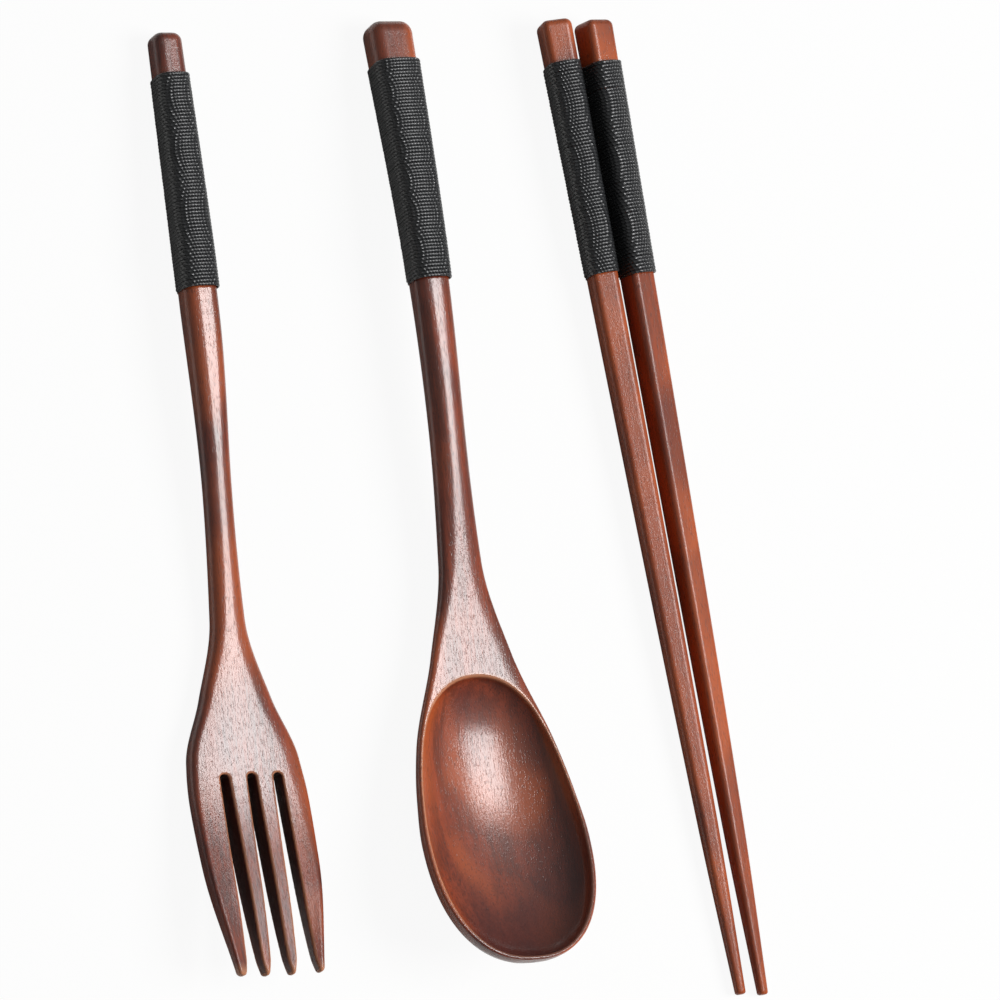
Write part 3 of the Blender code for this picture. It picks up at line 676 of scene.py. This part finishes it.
def stained_wood(name, marks, turn, offset, finish, warmth, varnish):
    """Sanded hardwood, stained red-brown and brushed with a satin varnish.

    The stain lies unevenly, so the eye sees it drift from maroon to orange. It sinks into the
    pores as fine dark dashes, and the varnish over it gives the light a crisp but speckled gleam.
    Edges are painted pale, partly as rubbed stain and partly as a painted highlight, and painted
    shade darkens the walls of the fork's gaps and the spoon's bowl. The marks are the values that
    the piece's own mesh carries. The offset, in millimetres, gives each piece its own cut of the
    wood, and the turn lays its grain along it.
    """
    material, tree = new_material(name)
    place = add_node(tree, "ShaderNodeTexCoord", {})
    lengthwise = add_node(tree, "ShaderNodeMapping", {}, {
        "Vector": place.outputs["Object"],
        "Location": offset,
        "Rotation": (0.0, 0.0, -math.radians(turn)),
        "Scale": (1 / MM, 1 / MM, 1 / MM),
    })
    amounts = {}
    for key, (stretch, scale, detail, rough, bent) in GRAINS.items():
        squeezed = add_node(tree, "ShaderNodeVectorMath", {"operation": "MULTIPLY"}, {
            0: lengthwise.outputs["Vector"], 1: (1.0, 1 / stretch, 1.0),
        })
        amounts[key] = add_node(tree, "ShaderNodeTexNoise", {}, {
            "Vector": squeezed.outputs[0], "Scale": scale, "Detail": detail, "Roughness": rough,
            "Distortion": bent,
        }).outputs["Fac"]
    for key in marks:
        mark = add_node(tree, "ShaderNodeAttribute", {"attribute_name": key})
        amounts[key] = mark.outputs["Fac"]
    # the grain's tone is a little more band than fibre
    amounts["tone"] = add_node(tree, "ShaderNodeMix", {}, {
        0: 0.55, 2: amounts["fibre"], 3: amounts["band"],
    }).outputs[0]

    # each layer comes up between two amounts of its pattern, from its least share to its most
    colour = linear(finish.dark_stain)
    for key, low, high, least, most, laid in (
        ("tone", 0.36, 0.64, 0.0, 1.0, finish.bright_stain),
        ("thin", 0.40, 0.66, 0.75 * warmth, 0.75 * (1.0 + warmth), finish.orange_stain),
        ("heavy", 0.50, 0.72, 0.0, 0.6, finish.stain),
        ("pore", 0.58, 0.68, 0.0, 0.4, finish.pore),
        # pale edges, partly rubbed stain and partly a painted highlight
        ("worn_edge", 0.0, 1.0, 0.0, 0.75, finish.rubbed_and_highlit_edge),
        # painted shade on the walls of the gaps between tines
        ("deep_cut", 0.0, 1.0, 0.0, 0.8, finish.pore),
        # painted shade in the bowl
        ("pooled_stain", 0.0, 1.0, 0.0, 0.7, finish.stain),
    ):
        if key not in amounts:
            continue
        amounts[key] = add_node(tree, "ShaderNodeMapRange", {"interpolation_type": "SMOOTHSTEP"}, {
            "Value": amounts[key], "From Min": low, "From Max": high,
            "To Min": least, "To Max": most,
        }).outputs["Result"]
        colour = add_node(tree, "ShaderNodeMix", {"data_type": "RGBA"}, {
            0: amounts[key], 6: colour, 7: linear(laid),
        }).outputs[2]

    # pores are dents, and the varnish's tooth stands up with the fibres
    relief = amounts["fibre"]
    for key, height in (("pore", -1.25), ("sparkle", 0.7)):
        relief = add_node(tree, "ShaderNodeMath", {"operation": "MULTIPLY_ADD"}, {
            0: amounts[key], 1: height, 2: relief,
        }).outputs[0]
    bump = add_node(tree, "ShaderNodeBump", {}, {
        "Height": relief, "Strength": 0.55, "Distance": 0.04 * MM,
    })
    roughness = add_node(tree, "ShaderNodeMapRange", {}, {
        "Value": amounts["fibre"], "From Min": 0.3, "From Max": 0.7,
        "To Min": 0.48, "To Max": 0.62,
    })
    coat = varnish
    if "dulled" in marks:
        coat = add_node(tree, "ShaderNodeMapRange", {}, {
            "Value": amounts["dulled"], "To Min": varnish, "To Max": varnish - DULLED_VARNISH,
        }).outputs["Result"]
    shader = add_node(tree, "ShaderNodeBsdfPrincipled", {}, {
        "Base Color": colour,
        "Roughness": roughness.outputs["Result"],
        "Normal": bump.outputs["Normal"],
        "IOR": 1.5,
        "Coat Weight": coat,
        "Coat Roughness": 0.17,
        "Coat Normal": bump.outputs["Normal"],
    })
    add_node(tree, "ShaderNodeOutputMaterial", {}, {"Surface": shader.outputs[0]})
    return material


def waxed_thread(name, lay, finish):
    """Black waxed polyester thread of two twisted plies, wound tight.

    The plies cross the thread on a slant, so the side towards the light is covered with short
    grey glints that line up from turn to turn, and the rest of the winding stays matt black.
    The colour paints the tops of the plies paler, as a highlight, and the grooves between them
    darker, as shade.
    """
    material, tree = new_material(name)
    along, ply = [
        add_node(tree, "ShaderNodeAttribute", {"attribute_name": key}).outputs["Fac"]
        for key in ("along_thread", "round_thread")
    ]
    twist = add_node(tree, "ShaderNodeMath", {"operation": "MULTIPLY"}, {
        0: along, 1: 2 * math.pi / lay,
    })
    # each ply is half the thread, and comes to the top once in half a lay
    for operation, second in (("SUBTRACT", twist.outputs[0]), ("COSINE", 0.0), ("ABSOLUTE", 0.0)):
        ply = add_node(tree, "ShaderNodeMath", {"operation": operation}, {
            0: ply, 1: second,
        }).outputs[0]
    place = add_node(tree, "ShaderNodeTexCoord", {})
    # patches of loose fibres 0.6 mm wide
    fluff = add_node(tree, "ShaderNodeTexNoise", {}, {
        "Vector": place.outputs["Object"], "Scale": 1.6 / MM, "Detail": 2.0, "Roughness": 0.6,
    }).outputs["Fac"]
    # painted highlight on the tops of the plies, made uneven by loose fibres, and painted shade in
    # the grooves between them
    painted_crest_light = add_node(tree, "ShaderNodeMath", {"operation": "ADD"}, {0: fluff, 1: 0.4})
    tone = add_node(tree, "ShaderNodeMath", {"operation": "MULTIPLY"}, {
        0: ply, 1: painted_crest_light.outputs[0],
    })
    bump = add_node(tree, "ShaderNodeBump", {}, {
        "Height": ply, "Strength": 1.0, "Distance": 0.12 * MM,
    })
    shader = add_node(tree, "ShaderNodeBsdfPrincipled", {}, {
        "Base Color": add_node(tree, "ShaderNodeMix", {"data_type": "RGBA"}, {
            0: tone.outputs[0], 6: linear(finish.thread_groove_shade), 7: linear(finish.thread),
        }).outputs[2],
        "Roughness": add_node(tree, "ShaderNodeMapRange", {}, {
            "Value": fluff, "From Min": 0.3, "From Max": 0.7, "To Min": 0.24, "To Max": 0.38,
        }).outputs["Result"],
        "Normal": bump.outputs["Normal"],
        "IOR": 1.58,
        "Coat Weight": 0.5,
        "Coat Roughness": 0.3,
    })
    add_node(tree, "ShaderNodeOutputMaterial", {}, {"Surface": shader.outputs[0]})
    return material


# What the paper throws back at the wood, and the share of its own light in what the camera sees
PAPER_BOUNCE, PAPER_GLOW = "#9a9a9a", 0.93


def paper_floor(name, colour):
    """Smooth matt white paper, which shows the eye nothing but the set's soft shadow.

    It gives the camera its full white, and throws less light back up at the wood than it shows.
    """
    material, tree = new_material(name)
    rays = add_node(tree, "ShaderNodeLightPath", {})
    pale = add_node(tree, "ShaderNodeMath", {"operation": "MAXIMUM"}, {
        0: rays.outputs["Is Camera Ray"], 1: rays.outputs["Is Glossy Ray"],
    })
    seen = add_node(tree, "ShaderNodeMix", {"data_type": "RGBA"}, {
        0: pale.outputs[0], 6: linear(PAPER_BOUNCE), 7: colour,
    })
    # faint waves in the paper, 13 mm wide
    waves = add_node(tree, "ShaderNodeTexNoise", {}, {"Scale": 900.0, "Detail": 2.0})
    bump = add_node(tree, "ShaderNodeBump", {}, {
        "Height": waves.outputs["Fac"], "Strength": 0.05, "Distance": 0.02 * MM,
    })
    matt = add_node(tree, "ShaderNodeBsdfDiffuse", {}, {
        "Color": seen.outputs[2], "Normal": bump.outputs["Normal"],
    })
    glow = add_node(tree, "ShaderNodeEmission", {}, {"Color": grey(1.0), "Strength": 1.0})
    share = add_node(tree, "ShaderNodeMath", {"operation": "MULTIPLY"}, {
        0: rays.outputs["Is Camera Ray"], 1: PAPER_GLOW,
    })
    both = add_node(tree, "ShaderNodeMixShader", {}, {
        0: share.outputs[0], 1: matt.outputs[0], 2: glow.outputs[0],
    })
    add_node(tree, "ShaderNodeOutputMaterial", {}, {"Surface": both.outputs[0]})
    return material


def size(name, description, millimetres):
    return bpy.props.FloatProperty(
        name=name, description=description, default=millimetres * MM, min=0.0,
        subtype="DISTANCE", unit="LENGTH", precision=5,
    )


def hex_colour(name, description, code):
    return bpy.props.StringProperty(name=name, description=description, default=code)


class CarvingSettings(bpy.types.PropertyGroup):
    """How finely the wood is carved."""

    edge_softness: size(
        "Edge softness", "Radius that the bowl's rim and the tines' edges are sanded to", 0.42,
    )
    fork_cell: size("Fork detail", "Spacing of the fork's mesh at the tines", 0.30)
    spoon_cell: size("Spoon detail", "Spacing of the spoon's mesh at the bowl", 0.34)
    chopstick_cell: size("Chopstick detail", "Spacing of the chopsticks' mesh at their ends", 0.25)


class ThreadSettings(bpy.types.PropertyGroup):
    """The thread and how it is wound."""

    pitch: size("Pitch", "Distance between neighbouring turns", 0.8)
    width: size("Width", "Width of the flattened thread", 0.84)
    height: size("Height", "Height of the flattened thread", 0.44)
    start: size("Start", "Distance of the windings from the grip ends", 9.9)
    length: size("Length", "Length of grip that the fork's and chopsticks' windings cover", 51.4)
    spoon_length: size("Spoon length", "Length of grip that the spoon's winding covers", 53.4)
    lay: size("Lay", "Length over which the two plies twist round each other once", 1.5)


class FinishSettings(bpy.types.PropertyGroup):
    """The colours of the stain and the thread, as sRGB hex values."""

    dark_stain: hex_colour("Dark stain", "Stain in the dark bands", "#4a190d")
    stain: hex_colour("Heavy stain", "Where the stain is heaviest", "#4a1712")
    bright_stain: hex_colour("Bright stain", "Stain in the pale bands", "#89361b")
    orange_stain: hex_colour("Orange stain", "Where the stain is thin", "#ad5022")
    pore: hex_colour("Pores", "Stain that has sunk into the pores", "#2e110d")
    # partly stain thinned by sanding, partly a painted highlight on the edges
    rubbed_and_highlit_edge: hex_colour("Rubbed edges", "Where sanding has thinned the stain", "#c98a66")
    thread: hex_colour("Thread", "Colour of the thread", "#2d2e30")
    # painted shade in the grooves between the plies
    thread_groove_shade: hex_colour("Thread shade", "Darker fibres of the thread", "#161719")


class StageSettings(bpy.types.PropertyGroup):
    """The floor, the lamps and the light from all round."""

    floor: bpy.props.FloatVectorProperty(
        name="Floor", description="Colour of the floor", default=linear("#e8e8e6"),
        size=4, subtype="COLOR", min=0.0, max=1.0,
    )
    key_power: bpy.props.FloatProperty(
        name="Key lamp", description="Power of the soft box over the set", default=20.5,
        unit="POWER",
    )
    side_power: bpy.props.FloatProperty(
        name="Side lamp", description="Power of the wide, dim soft box beside the chopsticks",
        default=36.0, unit="POWER",
    )
    sky: bpy.props.FloatProperty(
        name="Sky", description="Strength of the light from all round", default=0.16, min=0.0,
    )


def shown(thing, node):
    """Ties a piece to the set and hides the CAD node that it stands for."""
    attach(thing, "root")
    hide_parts(node)


class CUTLERY_OT_fork(bpy.types.Operator):
    """Carve the fork with its four tines"""

    bl_idname = "cutlery.fork"
    bl_label = "Carve the fork"

    def execute(self, context):
        scene = context.scene
        carved = fork_mesh(scene.cutlery_carving)
        material = stained_wood(
            "stained_satin_varnished_hardwood_fork", carved[2], turn=FORK_PLACE[2],
            offset=(3.0, 11.0, 5.0), finish=scene.cutlery_finish, warmth=0.05, varnish=1.0,
        )
        fork = made_object("carved_fork", *carved, placing(FORK_PLACE), material)
        shown(fork, "fork")
        return {"FINISHED"}


class CUTLERY_OT_spoon(bpy.types.Operator):
    """Carve the spoon and hollow its bowl"""

    bl_idname = "cutlery.spoon"
    bl_label = "Carve the spoon"

    def execute(self, context):
        scene = context.scene
        carved = spoon_mesh(scene.cutlery_carving)
        material = stained_wood(
            "stained_satin_varnished_hardwood_spoon", carved[2], turn=SPOON_PLACE[2],
            offset=(47.0, 3.0, 21.0), finish=scene.cutlery_finish, warmth=0.2, varnish=1.0,
        )
        spoon = made_object("carved_spoon", *carved, placing(SPOON_PLACE), material)
        shown(spoon, "spoon")
        return {"FINISHED"}


class CUTLERY_OT_chopsticks(bpy.types.Operator):
    """Shape the pair of chopsticks"""

    bl_idname = "cutlery.chopsticks"
    bl_label = "Shape the chopsticks"

    def execute(self, context):
        scene = context.scene
        shaped = chopstick_mesh(scene.cutlery_carving)
        for side, place, roll, offset, warmth in (
            ("left", LEFT_PLACE, -CHOPSTICK_ROLL, (91.0, 33.0, 7.0), 0.8),
            ("right", RIGHT_PLACE, CHOPSTICK_ROLL, (13.0, 71.0, 55.0), 0.45),
        ):
            material = stained_wood(
                f"stained_satin_varnished_hardwood_chopstick_{side}", shaped[2], turn=place[2],
                offset=offset, finish=scene.cutlery_finish, warmth=warmth, varnish=0.4,
            )
            laid = placing(place, roll)
            stick = made_object(f"shaped_chopstick_{side}", *shaped, laid, material)
            shown(stick, f"chopstick_{side}")
        return {"FINISHED"}


class CUTLERY_OT_windings(bpy.types.Operator):
    """Wind the thread round the four grips"""

    bl_idname = "cutlery.windings"
    bl_label = "Wind the grips"

    def execute(self, context):
        scene = context.scene
        thread = scene.cutlery_thread
        material = waxed_thread(
            "waxed_polyester_thread_two_ply", thread.lay / MM, scene.cutlery_finish,
        )
        length, spoon_length = thread.length / MM, thread.spoon_length / MM
        for seed, (utensil, form, covered, place, roll) in enumerate((
            ("fork", fork_form(), length, FORK_PLACE, 0.0),
            ("spoon", spoon_form(), spoon_length, SPOON_PLACE, 0.0),
            ("chopstick_left", chopstick_form(), length, LEFT_PLACE, -CHOPSTICK_ROLL),
            ("chopstick_right", chopstick_form(), length, RIGHT_PLACE, CHOPSTICK_ROLL),
        )):
            wound = winding_mesh(form, covered, thread, seed)
            laid = placing(place, roll)
            winding = made_object(f"wound_thread_{utensil}", *wound, laid, material)
            shown(winding, f"{utensil}_thread_wrap")
        return {"FINISHED"}


# Where the lamps hang, and how long they are across the set and along it, in metres
KEY_TOWARDS, KEY_SIZE = (0.36, 0.19, 0.92), (0.58, 0.72)
SIDE_TOWARDS, SIDE_SIZE = (0.70, -0.15, 0.70), (0.90, 0.90)
LAMP_DISTANCE = 1.7
# How far the floor runs from the middle of the set, in metres
FLOOR_REACH = 6.0


def soft_box(scene, name, towards, sizes, power, mirrored):
    """Hangs an oblong lamp over the set, for the varnish to mirror or for the light it throws."""
    lamp = bpy.data.lights.new(name, "AREA")
    lamp.shape = "RECTANGLE"
    lamp.size, lamp.size_y = sizes
    lamp.energy = power
    thing = bpy.data.objects.new(name, lamp)
    away = Vector(towards).normalized()
    long_side = Vector((0.0, 1.0, 0.0)).cross(away).normalized()
    thing.matrix_world = Matrix.Translation(away * LAMP_DISTANCE) @ Matrix(
        (long_side, away.cross(long_side), away)
    ).transposed().to_4x4()
    thing.visible_glossy, thing.visible_diffuse = mirrored, not mirrored
    scene.collection.objects.link(thing)


class CUTLERY_OT_stage(bpy.types.Operator):
    """Lay the floor, hang the lamps and set the camera"""

    bl_idname = "cutlery.stage"
    bl_label = "Set the stage"

    def execute(self, context):
        scene = context.scene
        settings = scene.cutlery_stage
        mesh = bpy.data.meshes.new("paper_floor")
        corners = [
            (x * FLOOR_REACH, y * FLOOR_REACH, 0) for x, y in ((-1, -1), (1, -1), (1, 1), (-1, 1))
        ]
        mesh.from_pydata(corners, [], [(0, 1, 2, 3)])
        mesh.materials.append(paper_floor("matt_white_paper", settings.floor))
        floor = bpy.data.objects.new("paper_floor", mesh)
        scene.collection.objects.link(floor)

        world = bpy.data.worlds.new("soft_room")
        world.use_nodes = True
        world.node_tree.nodes["Background"].inputs["Color"].default_value = grey(1.0)
        world.node_tree.nodes["Background"].inputs["Strength"].default_value = settings.sky
        scene.world = world

        soft_box(scene, "key_soft_box", KEY_TOWARDS, KEY_SIZE, settings.key_power, True)
        soft_box(scene, "side_soft_box", SIDE_TOWARDS, SIDE_SIZE, settings.side_power, False)

        scene.camera = photo_camera(scene)
        scene.view_settings.view_transform = "Standard"
        return {"FINISHED"}


# The camera that the photograph fits: what it looks at and how far away it is, in metres, the way
# to it and its roll, in degrees, and its focal length in pixels
CAMERA_TARGET = Vector((0.012244, 0.000107, 0.01))
CAMERA_AZIMUTH, CAMERA_ELEVATION, CAMERA_ROLL = -64.714, 62.046, 60.682
CAMERA_DISTANCE = 1.8
CAMERA_FOCAL_PIXELS = 7935.1
IMAGE_PIXELS = 1000
# The default sensor's width, in millimetres
SENSOR_WIDTH = 36.0


def photo_camera(scene):
    camera = bpy.data.cameras.new("photo_camera")
    camera.sensor_width = SENSOR_WIDTH
    camera.lens = CAMERA_FOCAL_PIXELS * camera.sensor_width / IMAGE_PIXELS
    camera.clip_end = 100.0
    thing = bpy.data.objects.new("photo_camera", camera)
    azimuth, elevation = math.radians(CAMERA_AZIMUTH), math.radians(CAMERA_ELEVATION)
    away = Vector((
        math.sin(azimuth) * math.cos(elevation),
        -math.cos(azimuth) * math.cos(elevation),
        math.sin(elevation),
    ))
    right = (-away).cross(Vector((0, 0, 1))).normalized()
    up = right.cross(-away)
    roll = math.radians(CAMERA_ROLL)
    across = right * math.cos(roll) + up * math.sin(roll)
    upward = up * math.cos(roll) - right * math.sin(roll)
    turned = Matrix((across, upward, away)).transposed().to_4x4()
    thing.matrix_world = Matrix.Translation(CAMERA_TARGET + away * CAMERA_DISTANCE) @ turned
    scene.collection.objects.link(thing)
    return thing


class CUTLERY_PT_set(bpy.types.Panel):
    """Lists the pieces of the set and their settings."""

    bl_idname = "CUTLERY_PT_set"
    bl_label = "Wooden cutlery set"
    bl_space_type = "VIEW_3D"
    bl_region_type = "UI"
    bl_category = "Cutlery"

    def draw(self, context):
        for operator in OPERATORS:
            self.layout.operator(operator.bl_idname)
        for name, group in GROUPS.items():
            box = self.layout.box()
            for key in group.__annotations__:
                box.prop(getattr(context.scene, name), key)


OPERATORS = (
    CUTLERY_OT_fork, CUTLERY_OT_spoon, CUTLERY_OT_chopsticks, CUTLERY_OT_windings,
    CUTLERY_OT_stage,
)
GROUPS = {
    "cutlery_carving": CarvingSettings,
    "cutlery_thread": ThreadSettings,
    "cutlery_finish": FinishSettings,
    "cutlery_stage": StageSettings,
}


def register():
    for group in GROUPS.values():
        bpy.utils.register_class(group)
    for name, group in GROUPS.items():
        setattr(bpy.types.Scene, name, bpy.props.PointerProperty(type=group))
    for operator in OPERATORS:
        bpy.utils.register_class(operator)
    bpy.utils.register_class(CUTLERY_PT_set)


def unregister():
    bpy.utils.unregister_class(CUTLERY_PT_set)
    for operator in reversed(OPERATORS):
        bpy.utils.unregister_class(operator)
    for name in GROUPS:
        delattr(bpy.types.Scene, name)
    for group in reversed(GROUPS.values()):
        bpy.utils.unregister_class(group)


def main():
    register()
    bpy.ops.cutlery.fork()
    bpy.ops.cutlery.spoon()
    bpy.ops.cutlery.chopsticks()
    bpy.ops.cutlery.windings()
    bpy.ops.cutlery.stage()


if __name__ == "__main__":
    main()
